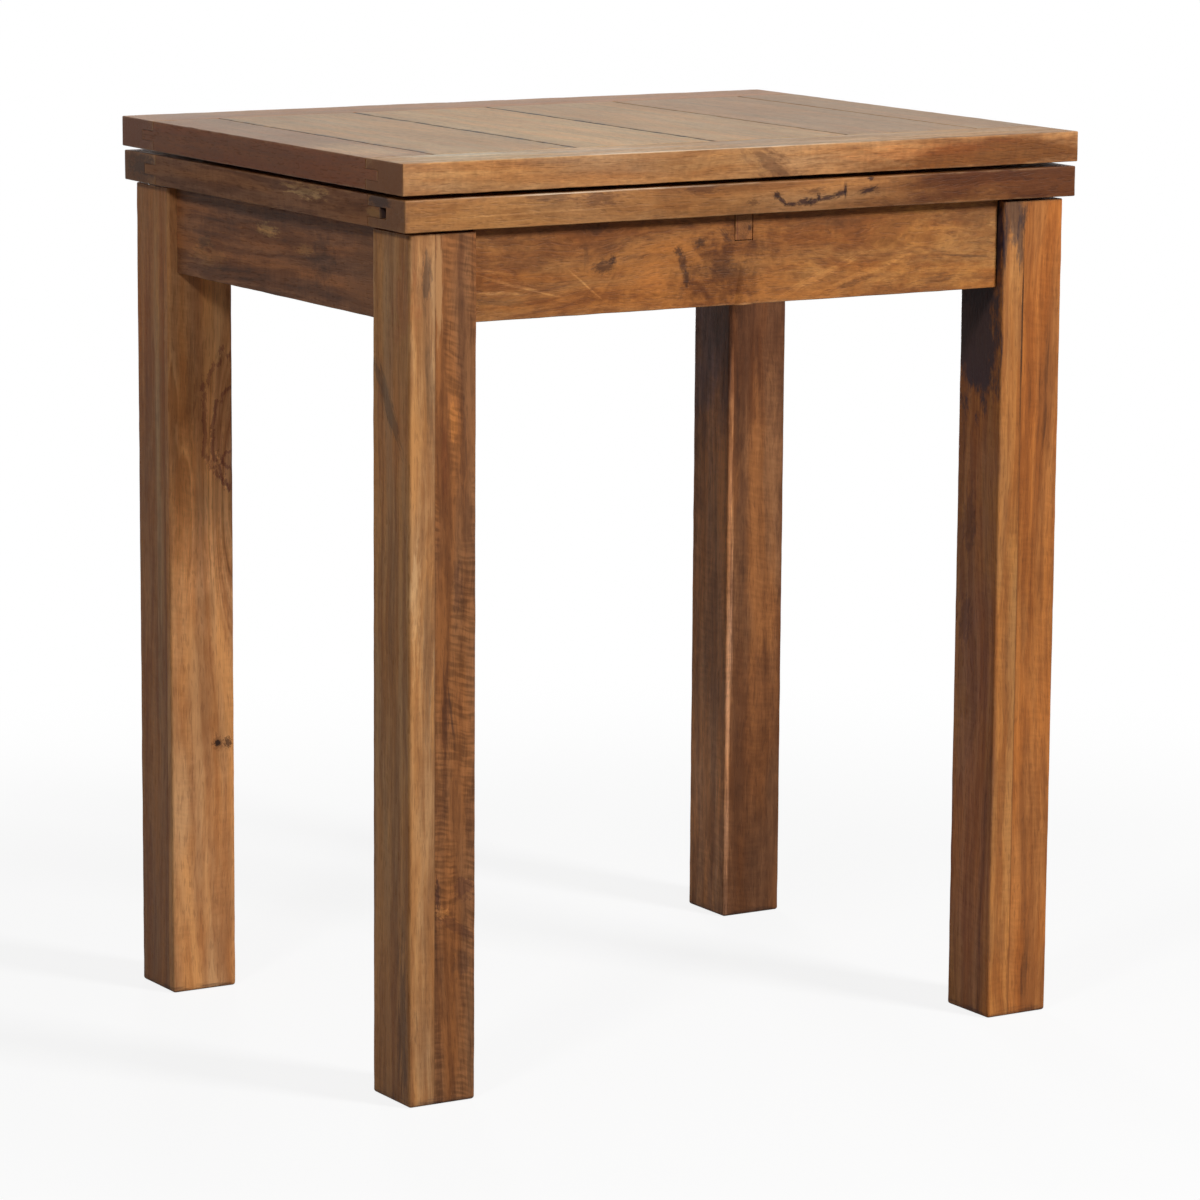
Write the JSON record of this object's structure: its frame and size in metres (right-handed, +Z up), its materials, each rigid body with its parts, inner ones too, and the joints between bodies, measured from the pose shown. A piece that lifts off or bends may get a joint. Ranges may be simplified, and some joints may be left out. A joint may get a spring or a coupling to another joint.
{
  "type": "fold-over dining table",
  "caption": "Square-legged wooden dining table whose stacked leaves slide forward on a centre rail and fold open along the back edge to double the top.",
  "frame": {"origin": "on the floor, under the middle of the folded top", "axes": "+X to the right along the front, +Y to the back where the hinges are, +Z up"},
  "size_m": [0.648, 0.499, 0.76],
  "materials": {
    "leg_wood": "satin oiled hardwood",
    "apron_wood": "satin oiled hardwood",
    "leaf_wood": "satin lacquered hardwood",
    "runner_wood": "plain sanded hardwood",
    "hinge_brass": "dulled brass",
    "screw_brass": "dulled brass",
    "screw_steel": "zinc-plated steel",
    "pad_felt": "pressed felt"
  },
  "bodies": {
    "base": {"leg_front_left": "leg_wood", "leg_front_right": "leg_wood", "leg_back_left": "leg_wood", "leg_back_right": "leg_wood", "apron_front": "apron_wood", "apron_back": "apron_wood", "apron_left": "apron_wood", "apron_right": "apron_wood", "slide_rail": "runner_wood", "corner_block_front_left": "runner_wood", "corner_block_front_right": "runner_wood", "corner_block_back_left": "runner_wood", "corner_block_back_right": "runner_wood"},
    "lower_leaf": {"lower_front_rail": "leaf_wood", "lower_back_rail": "leaf_wood", "lower_left_stile": "leaf_wood", "lower_right_stile": "leaf_wood", "lower_plank_1": "leaf_wood", "lower_plank_2": "leaf_wood", "lower_plank_3": "leaf_wood", "lower_plank_4": "leaf_wood", "guide_cleat_left": "runner_wood", "guide_cleat_right": "runner_wood", "keeper_strip": "runner_wood", "keeper_screw_1": "screw_steel", "keeper_screw_2": "screw_steel", "keeper_screw_3": "screw_steel", "keeper_screw_4": "screw_steel", "lower_hinge_plate_left": "hinge_brass", "lower_hinge_plate_right": "hinge_brass", "lower_hinge_screw_left_1": "screw_brass", "lower_hinge_screw_left_2": "screw_brass", "lower_hinge_screw_left_3": "screw_brass", "lower_hinge_screw_right_1": "screw_brass", "lower_hinge_screw_right_2": "screw_brass", "lower_hinge_screw_right_3": "screw_brass", "hinge_pin_left": "hinge_brass", "hinge_pin_right": "hinge_brass", "leaf_pad_left": "pad_felt", "leaf_pad_right": "pad_felt"},
    "upper_leaf": {"upper_front_rail": "leaf_wood", "upper_back_rail": "leaf_wood", "upper_left_stile": "leaf_wood", "upper_right_stile": "leaf_wood", "upper_plank_1": "leaf_wood", "upper_plank_2": "leaf_wood", "upper_plank_3": "leaf_wood", "upper_plank_4": "leaf_wood", "upper_hinge_plate_left": "hinge_brass", "upper_hinge_plate_right": "hinge_brass", "upper_hinge_screw_left_1": "screw_brass", "upper_hinge_screw_left_2": "screw_brass", "upper_hinge_screw_left_3": "screw_brass", "upper_hinge_screw_right_1": "screw_brass", "upper_hinge_screw_right_2": "screw_brass", "upper_hinge_screw_right_3": "screw_brass"}
  },
  "joints": [
    {"name": "top_slide", "type": "slide", "parent": "base", "child": "lower_leaf", "axis": [0, -1, 0], "range_m": [0, 0.2475]},
    {"name": "leaf_flip", "type": "hinge", "parent": "lower_leaf", "child": "upper_leaf", "pos_m": [0, 0.248, 0.7325], "axis": [-1, 0, 0], "range_deg": [0, 180]}
  ]
}
